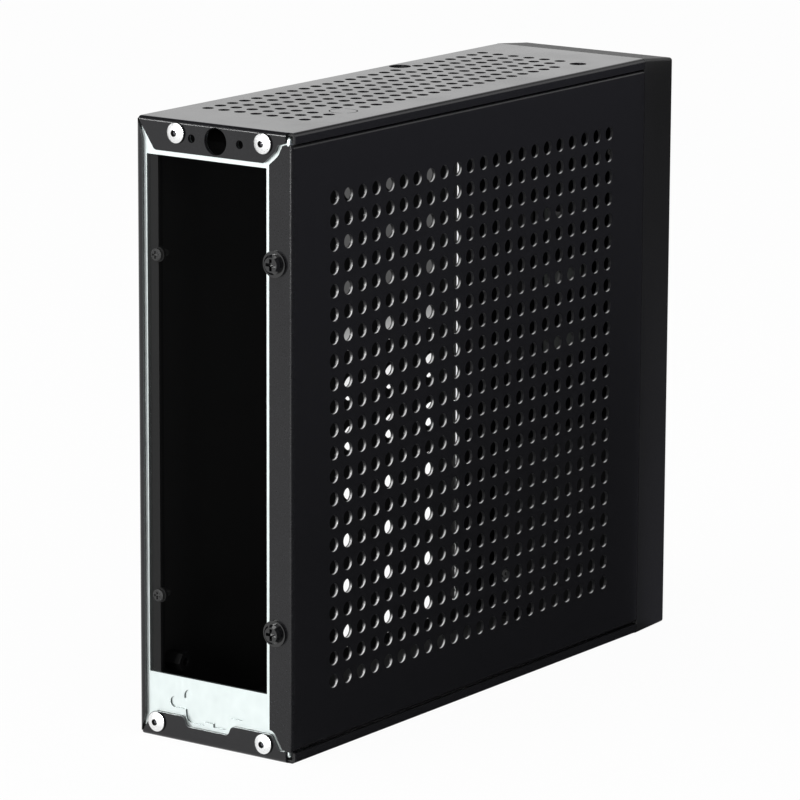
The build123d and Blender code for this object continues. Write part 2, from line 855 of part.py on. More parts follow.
def build_usb_shells():
    """Metal shells of the two USB sockets."""
    shells = []
    for v in usb_vs:
        half_u = usb_width / 2
        half_v = usb_length / 2
        end_w = board_face_w + usb_depth
        outer = block(
            (middle_u - half_u, middle_u + half_u), (board_face_w, end_w), (v - half_v, v + half_v)
        )
        outer = fillet(outer.edges().filter_by(Axis.Y), 0.6)
        outer -= block(
            (middle_u - half_u + usb_wall, middle_u + half_u - usb_wall),
            (board_face_w + 1, end_w + 1),
            (v - half_v + usb_wall, v + half_v - usb_wall),
        )
        shells.append(outer)
    return Compound(children=shells)


def build_usb_tongues():
    """Contact tongues inside the USB sockets."""
    tongues = []
    for v in usb_vs:
        low_u = middle_u + 0.1
        half_v = usb_tongue_length / 2
        start_w = board_face_w + 1
        tongue = block(
            (low_u, low_u + usb_tongue_thickness),
            (start_w, start_w + usb_tongue_depth),
            (v - half_v, v + half_v),
        )
        tongues.append(chamfer(tongue.faces().sort_by(Axis.Y)[0].edges(), 0.4))
    return Compound(children=tongues)


def build_power_switch():
    """Body of the push switch, open at the front for its plunger."""
    half = switch_side / 2
    body = block(
        (middle_u - half, middle_u + half),
        (board_face_w, switch_face_w),
        (button_v - half, button_v + half),
    )
    body = chamfer(body.faces().sort_by(Axis.Y)[0].edges(), 0.5)
    bore = plunger_side / 2 + plunger_gap
    start_w = plunger_end_w - plunger_length - button_travel - 0.3
    return body - block(
        (middle_u - bore, middle_u + bore),
        (start_w, switch_face_w + 1),
        (button_v - bore, button_v + bore),
    )


def build_switch_plunger():
    """Square plunger of the switch, pressed into the button's stem."""
    half = plunger_side / 2
    return block(
        (middle_u - half, middle_u + half),
        (plunger_end_w - plunger_length, plunger_end_w),
        (button_v - half, button_v + half),
    )


def build_power_button():
    """Round button with a rim that stops it behind the front panel."""
    end_w = case_depth + button_proud
    cap = rear_rod(middle_u, button_v, button_cap / 2, rim_back_w, end_w)
    cap = chamfer(cap.edges().sort_by(Axis.Y)[0], 0.5)
    dish = Pos(tray_x - middle_u, rear_y - end_w - 19.4, button_v) * Sphere(20.0)
    cap -= dish
    rim = rear_rod(middle_u, button_v, button_rim / 2, rim_back_w, face_w)
    stem = rear_rod(middle_u, button_v, button_stem / 2, stem_end_w, rim_back_w)
    half = plunger_side / 2
    pocket = block(
        (middle_u - half, middle_u + half),
        (stem_end_w - 1, plunger_end_w),
        (button_v - half, button_v + half),
    )
    return cap + rim + stem - pocket


def build_board_leds():
    """Two lamps on the front board."""
    lamps = []
    for v in led_vs:
        lamp = rear_rod(middle_u, v, led_diameter / 2, board_face_w, board_face_w + led_height)
        lamp = chamfer(lamp.edges().sort_by(Axis.Y)[0], led_diameter * 0.25)
        lamps.append(lamp)
    return Compound(children=lamps)


def build_light_pipes():
    """Clear pipes that bring the light to the face of the front panel."""
    pipes = []
    for v in led_vs:
        start_w = board_face_w + led_height
        pipe = rear_rod(middle_u, v, led_diameter / 2, start_w, case_depth + 0.3)
        pipe = chamfer(pipe.edges().sort_by(Axis.Y)[0], 0.3)
        pipe += rear_rod(middle_u, v, pipe_rim / 2, face_w - 1.2, face_w)
        pipes.append(pipe)
    return Compound(children=pipes)


def build_board_header():
    """Pin header on the back of the front board."""
    back_w = board_face_w - board_thickness
    middle_v = (board_bottom_v + board_top_v) / 2 + 20
    half_u = header_width / 2
    half_v = header_length / 2
    header = block(
        (middle_u - half_u, middle_u + half_u),
        (back_w - header_height, back_w),
        (middle_v - half_v, middle_v + half_v),
    )
    header -= block(
        (middle_u - half_u + 1, middle_u + half_u - 1),
        (back_w - header_height - 1, back_w - 1.5),
        (middle_v - half_v + 1, middle_v + half_v - 1),
    )
    return header


def build_drive_bracket():
    """Plate for a 2.5-inch drive, folded to a flange on the front frame."""
    end_w = web_w
    plate_u = (bracket_u, bracket_u + sheet)
    plate = block(plate_u, (bracket_start_w, end_w), (bracket_bottom_v, bracket_top_v))
    flange_u = (bracket_u, bracket_u + bracket_flange)
    plate += block(flange_u, (end_w - sheet, end_w), (bracket_bottom_v, bracket_top_v))
    middle_w = (bracket_start_w + end_w) / 2 - 1.0
    middle_v = (bracket_bottom_v + bracket_top_v) / 2
    for side_w in (-1, 1):
        for side_v in (-1, 1):
            w = middle_w + side_w * drive_hole_pitch_w / 2
            v = middle_v + side_v * drive_hole_pitch_v / 2
            plate -= side_rod(w, v, screw_hole / 2, bracket_u - 1, bracket_u + 2)
    slot = SlotCenterToCenter(drive_slot_length - drive_slot_width, drive_slot_width)
    for v in (middle_v - drive_slot_step, middle_v, middle_v + drive_slot_step):
        cut = extrude(tray_plane * Pos(middle_w, v) * slot, 4)
        plate -= Pos(-bracket_u + 1, 0, 0) * cut
    for v in bracket_screw_vs:
        plate -= rear_rod(bracket_screw_u(), v, screw_hole / 2, end_w - 2, end_w + 1)
    return plate


def build_bracket_screws():
    """Two screws that hold the drive bracket to the front frame."""
    screws = []
    for v in bracket_screw_vs:
        screw = pan_screw(5.6, 2.0, screw_shank, 5.0)
        place = Pos(tray_x - bracket_screw_u(), rear_y - web_w + sheet, v)
        screws.append(place * Rot(-90, 0, 0) * screw)
    return Compound(children=screws)


parts = {
    "outer_shell": build_outer_shell,
    "side_cover": build_side_cover,
    "rear_frame": build_rear_frame,
    "rear_rivets": build_rear_rivets,
    "cover_screws": build_cover_screws,
    "tray_ledge": build_tray_ledge,
    "ledge_screws": build_ledge_screws,
    "standoff_rail": build_standoff_rail,
    "board_standoffs": build_board_standoffs,
    "front_frame": build_front_frame,
    "frame_rivets": build_frame_rivets,
    "front_panel": build_front_panel,
    "panel_screws": build_panel_screws,
    "front_board": build_front_board,
    "board_screws": build_board_screws,
    "usb_shells": build_usb_shells,
    "usb_tongues": build_usb_tongues,
    "power_switch": build_power_switch,
    "switch_plunger": build_switch_plunger,
    "power_button": build_power_button,
    "board_leds": build_board_leds,
    "light_pipes": build_light_pipes,
    "board_header": build_board_header,
    "drive_bracket": build_drive_bracket,
    "bracket_screws": build_bracket_screws,
}

os.makedirs("parts", exist_ok=True)
for name, build in parts.items():
    export_step(build(), f"parts/{name}.step")
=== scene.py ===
import json

import bpy
from mathutils import Matrix, Vector


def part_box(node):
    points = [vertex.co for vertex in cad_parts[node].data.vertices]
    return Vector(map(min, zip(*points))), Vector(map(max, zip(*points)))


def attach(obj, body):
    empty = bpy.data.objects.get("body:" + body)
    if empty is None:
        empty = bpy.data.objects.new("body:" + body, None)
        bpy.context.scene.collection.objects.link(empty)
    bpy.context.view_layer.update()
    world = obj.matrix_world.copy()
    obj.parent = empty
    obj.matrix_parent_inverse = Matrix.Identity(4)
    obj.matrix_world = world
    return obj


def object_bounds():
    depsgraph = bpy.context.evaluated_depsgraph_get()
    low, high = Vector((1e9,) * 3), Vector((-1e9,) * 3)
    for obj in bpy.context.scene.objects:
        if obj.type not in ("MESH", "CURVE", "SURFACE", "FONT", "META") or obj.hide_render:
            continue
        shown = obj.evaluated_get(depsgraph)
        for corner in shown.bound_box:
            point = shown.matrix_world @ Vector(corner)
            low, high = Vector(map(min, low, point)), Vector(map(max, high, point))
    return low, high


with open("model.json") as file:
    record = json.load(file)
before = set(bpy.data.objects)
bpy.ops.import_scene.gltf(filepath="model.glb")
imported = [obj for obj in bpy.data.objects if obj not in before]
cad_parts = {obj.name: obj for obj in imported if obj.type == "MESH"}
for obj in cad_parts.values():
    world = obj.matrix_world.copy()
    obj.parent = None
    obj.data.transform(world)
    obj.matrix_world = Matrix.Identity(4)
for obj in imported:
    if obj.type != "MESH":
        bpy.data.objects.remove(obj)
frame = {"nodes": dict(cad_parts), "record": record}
cad_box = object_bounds()
scene = bpy.context.scene
nodes = frame["nodes"]
cad_low, cad_high = ([float(part) for part in corner] for corner in cad_box)

# Places and sizes on the part, in metres. A box is its low and its high corner
REAR_Y = float(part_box("outer_shell")[1][1])
FRAME_Y = float(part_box("rear_frame")[1][1])
HOLE_PITCH = 0.007
HOLE_RADIUS = 0.00215
HOLE_COUNT = 22
ROW_FIRST_Z = 0.0215
COLUMN_FIRST_Y = REAR_Y - 0.0205
GRID_LENGTH = (HOLE_COUNT - 1) * HOLE_PITCH
GRID_MARGIN = HOLE_PITCH / 2
COVER_HOLES_BOX = (
    (cad_low[0] - 0.0004, COLUMN_FIRST_Y - GRID_LENGTH - GRID_MARGIN, ROW_FIRST_Z - GRID_MARGIN),
    (cad_low[0] + 0.0014, COLUMN_FIRST_Y + GRID_MARGIN, ROW_FIRST_Z + GRID_LENGTH + GRID_MARGIN),
)
HALF_CUT_BOX = (
    (-0.012, FRAME_Y - 0.00055, 0.0055),
    (0.021, FRAME_Y - 0.00005, 0.018),
)
RIVET_TOP_Z = cad_high[2] - 0.0039
RIVET_FOOT_Z = 0.0048
RIVET_COVER_X = cad_low[0] + 0.0107
RIVETS = (
    (cad_high[0] - 0.0152, RIVET_TOP_Z),
    (RIVET_COVER_X, RIVET_TOP_Z),
    (cad_high[0] - 0.0067, RIVET_FOOT_Z),
    (RIVET_COVER_X, RIVET_FOOT_Z),
)
# Rivet rings of painted shade: the bore round the mandrel's stub, and a painted contact shadow at
# the head's edge
STUB_RADIUS = 0.00052
BORE_RADIUS = 0.00101
HEAD_EDGE_SHADOW = (0.00302, 0.0036)

# Nodes with curved walls that are shaded round
ROUND_NODES = (
    "outer_shell", "side_cover", "rear_frame", "rear_rivets", "cover_screws", "tray_ledge",
    "ledge_screws", "board_standoffs", "front_panel", "power_button", "light_pipes",
)

# Arcs of bare steel in the cover's holes, painted highlights where light falls on the cut walls.
# Each starts and is full at so many hole radii from
# the middle: downwards for a narrow arc, down and forwards by their shares for a wide one
WIDE_ARC = (0.5, 1.0)
NARROW_ARC = (0.6, 0.9)
SLANT_DOWN = 0.77
SLANT_FRONT = 0.64
WIDE_COLUMNS = 10
ARC_END_X = cad_low[0] + 0.0006
BARE_STEEL_HIGHLIGHT = (0.95, 0.95, 0.95)
BARE_ROUGH = 0.34
WALL_PAINT = (0.03, 0.03, 0.032)

# Darker colour inside the case, painted shade, and duller paint there, from this far behind the
# outer faces
HIDDEN_MARGIN = 0.0006
INSIDE_PAINTED_SHADE = (0.004, 0.004, 0.0042)
HIDDEN_ROUGH = 0.7


# Camera, at the photograph's angle

def add_camera():
    """Long lens from behind the cover side, a little above the top plate."""
    camera = bpy.data.cameras.new("camera")
    camera.sensor_width = 36.0
    camera.lens = 219.8
    camera.clip_start = 0.05
    camera.clip_end = 20.0
    place = Vector((-0.8664, 1.2190, 0.4169))
    forward = Vector((0.5682, -0.7947, -0.2138)).normalized()
    right = Vector((-0.8128, -0.5825, 0.0048))
    right = (right - forward * right.dot(forward)).normalized()
    up = right.cross(forward)
    turn = Matrix((right, up, -forward)).transposed()
    holder = bpy.data.objects.new("camera", camera)
    holder.matrix_world = Matrix.Translation(place) @ turn.to_4x4()
    scene.collection.objects.link(holder)
    scene.camera = holder


# Shader nodes

def empty_material(name):
    """Node material that has only its output."""
    material = bpy.data.materials.new(name)
    material.use_nodes = True
    tree = material.node_tree
    tree.nodes.clear()
    return material, tree, tree.nodes.new("ShaderNodeOutputMaterial")


def new_material(name):
    """Node material with its Principled shader."""
    material, tree, output = empty_material(name)
    shader = tree.nodes.new("ShaderNodeBsdfPrincipled")
    tree.links.new(shader.outputs["BSDF"], output.inputs["Surface"])
    return material, tree, shader


def feed(tree, socket, value):
    """Set a socket to a number or a colour, or link another socket to it."""
    if isinstance(value, (int, float)):
        socket.default_value = value
    elif isinstance(value, tuple):
        socket.default_value = (*value, 1.0)
    else:
        tree.links.new(value, socket)


def coordinates(tree, stretch=(1.0, 1.0, 1.0)):
    """Object coordinates in metres, stretched along an axis for brushed looks."""
    source = tree.nodes.new("ShaderNodeTexCoord")
    mapping = tree.nodes.new("ShaderNodeMapping")
    mapping.inputs["Scale"].default_value = stretch
    tree.links.new(source.outputs["Object"], mapping.inputs["Vector"])
    return mapping.outputs["Vector"]


def noise(tree, vector, size, detail=2.0):
    """Noise whose blotches are about the given size in metres."""
    node = tree.nodes.new("ShaderNodeTexNoise")
    node.inputs["Scale"].default_value = 1.0 / size
    node.inputs["Detail"].default_value = detail
    tree.links.new(vector, node.inputs["Vector"])
    return node.outputs["Fac"]


def spread(tree, value, low, high, start=0.3, end=0.7):
    """Map a value from start and end to low and high."""
    node = tree.nodes.new("ShaderNodeMapRange")
    node.inputs["From Min"].default_value = start
    node.inputs["From Max"].default_value = end
    node.inputs["To Min"].default_value = low
    node.inputs["To Max"].default_value = high
    tree.links.new(value, node.inputs["Value"])
    return node.outputs["Result"]


def calculate(tree, operation, first, second=0.0):
    """Math on two sockets or numbers."""
    node = tree.nodes.new("ShaderNodeMath")
    node.operation = operation
    feed(tree, node.inputs[0], first)
    feed(tree, node.inputs[1], second)
    return node.outputs[0]


def mix(tree, kind, share, first, second):
    """The first of two sockets or values, or the second where the share is one."""
    node = tree.nodes.new("ShaderNodeMix")
    node.data_type = kind
    feed(tree, node.inputs["Factor"], share)
    feed(tree, node.inputs["A"], first)
    feed(tree, node.inputs["B"], second)
    return node.outputs["Result"]


def mix_colours(tree, share, first, second):
    """Mix of two colours."""
    return mix(tree, "RGBA", share, first, second)


def mix_numbers(tree, share, first, second):
    """Mix of two numbers."""
    return mix(tree, "FLOAT", share, first, second)


def mix_shaders(tree, share, first, second):
    """The first shader, or the second where the share is one."""
    node = tree.nodes.new("ShaderNodeMixShader")
    tree.links.new(share, node.inputs["Fac"])
    tree.links.new(first, node.inputs[1])
    tree.links.new(second, node.inputs[2])
    return node.outputs["Shader"]


def add_bump(tree, shader, value, depth):
    """Bump of a real depth in metres."""
    node = tree.nodes.new("ShaderNodeBump")
    node.inputs["Distance"].default_value = depth
    node.inputs["Strength"].default_value = 1.0
    tree.links.new(value, node.inputs["Height"])
    tree.links.new(node.outputs["Normal"], shader.inputs["Normal"])


def split(tree, vector):
    """The three parts of a vector."""
    node = tree.nodes.new("ShaderNodeSeparateXYZ")
    tree.links.new(vector, node.inputs[0])
    return [node.outputs[axis] for axis in "XYZ"]


def between(tree, value, low, high):
    """One inside a range, nought outside it."""
    above = calculate(tree, "GREATER_THAN", value, low)
    return calculate(tree, "MULTIPLY", above, calculate(tree, "LESS_THAN", value, high))


# Marks for places on the part

def inside_box(tree, low, high):
    """One inside a box, nought outside it."""
    mask = 1.0
    for part, start, end in zip(split(tree, coordinates(tree)), low, high):
        mask = calculate(tree, "MULTIPLY", mask, between(tree, part, start, end))
    return mask


def inside_case(tree):
    """One for what lies deeper than the margin behind the outer faces."""
    low = (cad_low[0] + HIDDEN_MARGIN, cad_low[1], HIDDEN_MARGIN)
    high = (cad_high[0] - HIDDEN_MARGIN, REAR_Y - HIDDEN_MARGIN, cad_high[2] - HIDDEN_MARGIN)
    return inside_box(tree, low, high)


def cut_edges(tree, axis, low, high):
    """One on the walls of holes that run along an axis, inside a box."""
    most_tilt = 0.4
    geometry = tree.nodes.new("ShaderNodeNewGeometry")
    normal = split(tree, geometry.outputs["True Normal"])["XYZ".index(axis)]
    wall = calculate(tree, "LESS_THAN", calculate(tree, "ABSOLUTE", normal), most_tilt)
    return calculate(tree, "MULTIPLY", wall, inside_box(tree, low, high))


def grid_offset(tree, value, first):
    """Way back from the nearest hole's middle along one axis, in hole radii."""
    start = calculate(tree, "SUBTRACT", value, first)
    steps = calculate(tree, "MULTIPLY", start, 1.0 / HOLE_PITCH)
    rest = calculate(tree, "SUBTRACT", steps, calculate(tree, "ROUND", steps))
    return calculate(tree, "MULTIPLY", rest, -HOLE_PITCH / HOLE_RADIUS)


def hole_highlight_arc(tree):
    """Arc of bare steel in every hole of the cover, a painted highlight, wide near the rear and
    narrow beyond the rail.
    """
    depth, along, height = split(tree, coordinates(tree))
    foot = grid_offset(tree, height, ROW_FIRST_Z)
    front = grid_offset(tree, along, COLUMN_FIRST_Y)
    foot_share = calculate(tree, "MULTIPLY", foot, SLANT_DOWN)
    front_share = calculate(tree, "MULTIPLY", front, SLANT_FRONT)
    slant = calculate(tree, "ADD", foot_share, front_share)
    wide = spread(tree, slant, 0.0, 1.0, *WIDE_ARC)
    narrow = spread(tree, foot, 0.0, 1.0, *NARROW_ARC)
    last_y = COLUMN_FIRST_Y - (WIDE_COLUMNS - 0.5) * HOLE_PITCH
    near_rear = calculate(tree, "GREATER_THAN", along, last_y)
    arc = mix_numbers(tree, near_rear, narrow, wide)
    return calculate(tree, "MULTIPLY", arc, calculate(tree, "LESS_THAN", depth, ARC_END_X))


# Materials

def black_paint(name, level, rough, index=1.43, punched=False):
    """Black stove enamel as light as its level, with painted shade and duller paint inside the
    case.

    A punched sheet shows arcs of bare steel on the walls of its holes, painted as highlights
    where light falls.
    """
    material, tree, shader = new_material(name)
    shader.inputs["IOR"].default_value = index
    vector = coordinates(tree)
    cloud = noise(tree, vector, 0.02, 3.0)
    grain = noise(tree, vector, 0.0006)
    low = (level * 0.85, level * 0.85, level * 0.98)
    high = (level * 1.2, level * 1.2, level * 1.4)
    hidden = inside_case(tree)
    colour = mix_colours(tree, spread(tree, grain, 0.0, 1.0), low, high)
    # Painted shade: the colour inside the case is darker
    colour = mix_colours(tree, hidden, colour, INSIDE_PAINTED_SHADE)
    gloss = spread(tree, cloud, rough - 0.03, rough + 0.04)
    gloss = mix_numbers(tree, hidden, gloss, HIDDEN_ROUGH)
    if punched:
        wall = cut_edges(tree, "X", *COVER_HOLES_BOX)
        # Painted highlight: bright bare steel arcs on the lit side of each hole wall
        arcs = mix_colours(tree, hole_highlight_arc(tree), WALL_PAINT, BARE_STEEL_HIGHLIGHT)
        colour = mix_colours(tree, wall, colour, arcs)
        gloss = mix_numbers(tree, wall, gloss, BARE_ROUGH)
    feed(tree, shader.inputs["Base Color"], colour)
    feed(tree, shader.inputs["Roughness"], gloss)
    add_bump(tree, shader, grain, 0.000012)
    return material


def galvanised_steel(name):
    """Bright zinc with faint spangles and a rolled grain, and painted shade on the walls of its
    half cuts.
    """
    material, tree, shader = new_material(name)
    spangle = tree.nodes.new("ShaderNodeTexVoronoi")
    spangle.inputs["Scale"].default_value = 1.0 / 0.0035
    tree.links.new(coordinates(tree), spangle.inputs["Vector"])
    grain = noise(tree, coordinates(tree, (1.0, 1.0, 0.06)), 0.0004)
    zinc = mix_colours(tree, spangle.outputs["Distance"], (0.73, 0.80, 0.79), (0.78, 0.85, 0.84))
    half_cut = cut_edges(tree, "Y", *HALF_CUT_BOX)
    # Painted shade: the walls of the half-sheared knock-out are darkened
    colour = mix_colours(tree, half_cut, zinc, (0.02, 0.025, 0.025))
    feed(tree, shader.inputs["Base Color"], colour)
    feed(tree, shader.inputs["Roughness"], spread(tree, grain, 0.28, 0.34))
    shader.inputs["Metallic"].default_value = 1.0
    add_bump(tree, shader, grain, 0.000001)
    return material


def rivet_metal(name, places):
    """Satin aluminium, with painted shade on the stub of the mandrel and in the bore round it,
    and a painted contact shadow at the head's edge.
    """
    material, tree, shader = new_material(name)
    x, _, z = split(tree, coordinates(tree))
    dark = 0.0
    stub = 0.0
    for centre_x, centre_z in places:
        across = calculate(tree, "POWER", calculate(tree, "SUBTRACT", x, centre_x), 2.0)
        upward = calculate(tree, "POWER", calculate(tree, "SUBTRACT", z, centre_z), 2.0)
        distance = calculate(tree, "SQRT", calculate(tree, "ADD", across, upward))
        bore = between(tree, distance, STUB_RADIUS, BORE_RADIUS)
        shade_ring = calculate(tree, "ADD", bore, between(tree, distance, *HEAD_EDGE_SHADOW))
        dark = calculate(tree, "MAXIMUM", dark, shade_ring)
        core = calculate(tree, "LESS_THAN", distance, STUB_RADIUS)
        stub = calculate(tree, "MAXIMUM", stub, core)
    grain = noise(tree, coordinates(tree), 0.0004)
    metal = mix_colours(
        tree, spread(tree, grain, 0.0, 1.0), (0.80, 0.81, 0.81), (0.88, 0.88, 0.88)
    )
    # Painted shade on the stub and in the bore, painted contact shadow at the head's edge
    metal = mix_colours(tree, stub, metal, (0.10, 0.10, 0.11))
    metal = mix_colours(tree, dark, metal, (0.02, 0.02, 0.02))
    feed(tree, shader.inputs["Base Color"], metal)
    feed(tree, shader.inputs["Roughness"], spread(tree, grain, 0.22, 0.34))
    shader.inputs["Metallic"].default_value = 1.0
    return material


def plain_metal(name, colour, low, high):
    """Turned or pressed metal, its roughness uneven from low to high."""
    material, tree, shader = new_material(name)
    grain = noise(tree, coordinates(tree, (1.0, 0.2, 1.0)), 0.0003)
    dark = tuple(0.93 * part for part in colour)
    metal = mix_colours(tree, spread(tree, grain, 0.0, 1.0), dark, colour)
    feed(tree, shader.inputs["Base Color"], metal)
    feed(tree, shader.inputs["Roughness"], spread(tree, grain, low, high))
    shader.inputs["Metallic"].default_value = 1.0
    return material


def moulded_plastic(name, colour, rough):
    """Moulded plastic with a fine spark texture."""
    material, tree, shader = new_material(name)
    vector = coordinates(tree)
    grain = noise(tree, vector, 0.0005)
    cloud = noise(tree, vector, 0.03)
    dark = tuple(0.88 * part for part in colour)
    plastic = mix_colours(tree, spread(tree, cloud, 0.0, 1.0), dark, colour)
    feed(tree, shader.inputs["Base Color"], plastic)
    feed(tree, shader.inputs["Roughness"], spread(tree, grain, rough - 0.04, rough + 0.05))
    add_bump(tree, shader, grain, 0.00001)
    return material


def light_pipe(name):
    """Milky clear plastic."""
    material, tree, shader = new_material(name)
    grain = noise(tree, coordinates(tree), 0.001)
    feed(tree, shader.inputs["Base Color"], (0.82, 0.85, 0.87))
    feed(tree, shader.inputs["Roughness"], spread(tree, grain, 0.2, 0.32))
    shader.inputs["Transmission Weight"].default_value = 0.55
    shader.inputs["IOR"].default_value = 1.49
    return material


def circuit_board(name):
    """Dark green laminate with a weave under its lacquer."""
    material, tree, shader = new_material(name)
    wave = tree.nodes.new("ShaderNodeTexWave")
    wave.inputs["Scale"].default_value = 1.0 / 0.0022
    wave.inputs["Distortion"].default_value = 0.6
    tree.links.new(coordinates(tree), wave.inputs["Vector"])
    weave = mix_colours(tree, wave.outputs["Fac"], (0.003, 0.010, 0.006), (0.005, 0.016, 0.009))
    feed(tree, shader.inputs["Base Color"], weave)
    shader.inputs["Roughness"].default_value = 0.35
    shader.inputs["Coat Weight"].default_value = 0.6
    return material


def paint_nodes():
    """Give every CAD node its finish, by its slot or by its own name."""
    finishes = {
        "black_shell": black_paint("black_enamel", level=0.010, rough=0.18),
        "rivet_metal": rivet_metal("satin_aluminium", RIVETS),
        "galvanised": galvanised_steel("galvanised_steel"),
        "black_fastener": black_paint("black_zinc", level=0.005, rough=0.12, index=1.6),
        "front_plastic": moulded_plastic("front_plastic", (0.012, 0.012, 0.0125), 0.5),
        "button_plastic": moulded_plastic("button_plastic", (0.018, 0.018, 0.019), 0.3),
        "circuit_board": circuit_board("green_laminate"),
        "bright_steel": plain_metal("bright_steel", (0.78, 0.78, 0.77), 0.2, 0.32),
        "tongue_plastic": moulded_plastic("tongue_plastic", (0.02, 0.02, 0.02), 0.4),
        "switch_plastic": moulded_plastic("switch_plastic", (0.025, 0.025, 0.026), 0.45),
        "lamp_plastic": light_pipe("lamp_plastic"),
    }
    own = {
        "side_cover": black_paint(
            "cover_enamel", level=0.010, rough=0.22, index=1.4, punched=True
        ),
        # The rail's zinc is darker than the hem's, painted shade to keep it dark behind the
        # cover's holes
        "standoff_rail": plain_metal("zinc_rail_painted_shade", (0.25, 0.25, 0.26), 0.3, 0.4),
        "tray_ledge": black_paint("ledge_enamel", level=0.006, rough=0.2, index=1.27),
        "board_standoffs": black_paint("standoff_zinc", level=0.003, rough=0.6, index=1.2),
        "drive_bracket": black_paint("bracket_enamel", level=0.003, rough=0.7, index=1.15),
        "front_frame": black_paint("frame_enamel", level=0.003, rough=0.7, index=1.15),
    }
    for entry in frame["record"]["subparts"]:
        node = nodes[entry["node"]]
        finish = own.get(entry["node"], finishes[entry["material_slot"]])
        node.data.materials.clear()
        node.data.materials.append(finish)


# Details that only the look needs

def compare(group, value, operation, limit):
    """Comparison of a number with a limit, in geometry nodes."""
    node = group.nodes.new("FunctionNodeCompare")
    node.data_type = "FLOAT"
    node.operation = operation
    node.inputs["B"].default_value = limit
    group.links.new(value, node.inputs["A"])
    return node.outputs[0]


def round_shading():
    """Shade the small faces of curved walls round and keep real corners sharp."""
    sharp_angle = 0.6
    small_area = 1.0e-6
    group = bpy.data.node_groups.new("round_shading", "GeometryNodeTree")
    group.interface.new_socket("Geometry", in_out="INPUT", socket_type="NodeSocketGeometry")
    group.interface.new_socket("Geometry", in_out="OUTPUT", socket_type="NodeSocketGeometry")
    start = group.nodes.new("NodeGroupInput")
    end = group.nodes.new("NodeGroupOutput")
    faces = group.nodes.new("GeometryNodeSetShadeSmooth")
    edges = group.nodes.new("GeometryNodeSetShadeSmooth")
    edges.domain = "EDGE"
    edges.inputs["Shade Smooth"].default_value = False
    angle = group.nodes.new("GeometryNodeInputMeshEdgeAngle").outputs["Unsigned Angle"]
    area = group.nodes.new("GeometryNodeInputMeshFaceArea").outputs[0]
    sharp = compare(group, angle, "GREATER_THAN", sharp_angle)
    small = compare(group, area, "LESS_THAN", small_area)
    group.links.new(sharp, edges.inputs["Selection"])
    group.links.new(small, faces.inputs["Selection"])
    group.links.new(start.outputs[0], faces.inputs["Geometry"])
    group.links.new(faces.outputs[0], edges.inputs["Geometry"])
    group.links.new(edges.outputs[0], end.inputs[0])
    for name in ROUND_NODES:
        modifier = nodes[name].modifiers.new("round_shading", "NODES")
        modifier.node_group = group


def add_mesh(name, corners, faces, material):
    """New object of one mesh and one material."""
    mesh = bpy.data.meshes.new(name)
    mesh.from_pydata(corners, [], faces)
    mesh.materials.append(material)
    item = bpy.data.objects.new(name, mesh)
    scene.collection.objects.link(item)
    return item


def add_rail_hem():
    """Second lip of the standoff rail, on a thin foot, that leans towards the cover."""
    rail_low, rail_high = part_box("standoff_rail")
    tray_x = rail_high[0]
    sheet = 0.0003
    start_y = rail_high[1] - 0.0002
    foot_y = rail_high[1] + 0.0008
    edge_y = rail_high[1] + 0.00015
    step_x = tray_x - 0.0004
    edge_x = tray_x - 0.0020
    end_gap = 0.001
    profile = [
        (tray_x, start_y),
        (tray_x, foot_y),
        (step_x, foot_y),
        (edge_x, edge_y),
        (edge_x, edge_y - sheet),
        (tray_x - sheet, foot_y - 2 * sheet),
        (tray_x - sheet, start_y),
    ]
    levels = (rail_low[2] + end_gap, rail_high[2] - end_gap)
    corners = [(x, y, z) for z in levels for x, y in profile]
    count = len(profile)
    walls = [(i, (i + 1) % count, count + (i + 1) % count, count + i) for i in range(count)]
    ends = [tuple(range(count))[::-1], tuple(range(count, 2 * count))]
    zinc = plain_metal("zinc_hem", (0.94, 0.94, 0.94), 0.08, 0.14)
    hem = add_mesh("rail_hem", corners, walls + ends, zinc)
    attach(hem, "case")


# Studio

def white_to_the_eye(tree, lit, kind, lit_share=0.0):
    """White where camera, mirror or glass looks at it, plainly lit for the rest."""
    path = tree.nodes.new("ShaderNodeLightPath")
    seen = calculate(
        tree, "MAXIMUM", path.outputs["Is Camera Ray"], path.outputs["Is Glossy Ray"]
    )
    seen = calculate(tree, "MAXIMUM", seen, path.outputs["Is Transmission Ray"])
    white = tree.nodes.new(kind)
    white.inputs["Color"].default_value = (1.0, 1.0, 1.0, 1.0)
    white.inputs["Strength"].default_value = 1.0
    share = calculate(tree, "MULTIPLY", seen, 1.0 - lit_share)
    return mix_shaders(tree, share, lit, white.outputs[0])


def add_floor():
    """Plain pale floor."""
    reach = 6.0
    corners = [(-reach, -reach, 0), (reach, -reach, 0), (reach, reach, 0), (-reach, reach, 0)]
    material, tree, output = empty_material("floor")
    lit = tree.nodes.new("ShaderNodeBsdfDiffuse")
    lit.inputs["Color"].default_value = (0.85, 0.85, 0.85, 1.0)
    surface = white_to_the_eye(tree, lit.outputs["BSDF"], "ShaderNodeEmission", 0.04)
    tree.links.new(surface, output.inputs["Surface"])
    floor = add_mesh("floor", corners, [(0, 1, 2, 3)], material)


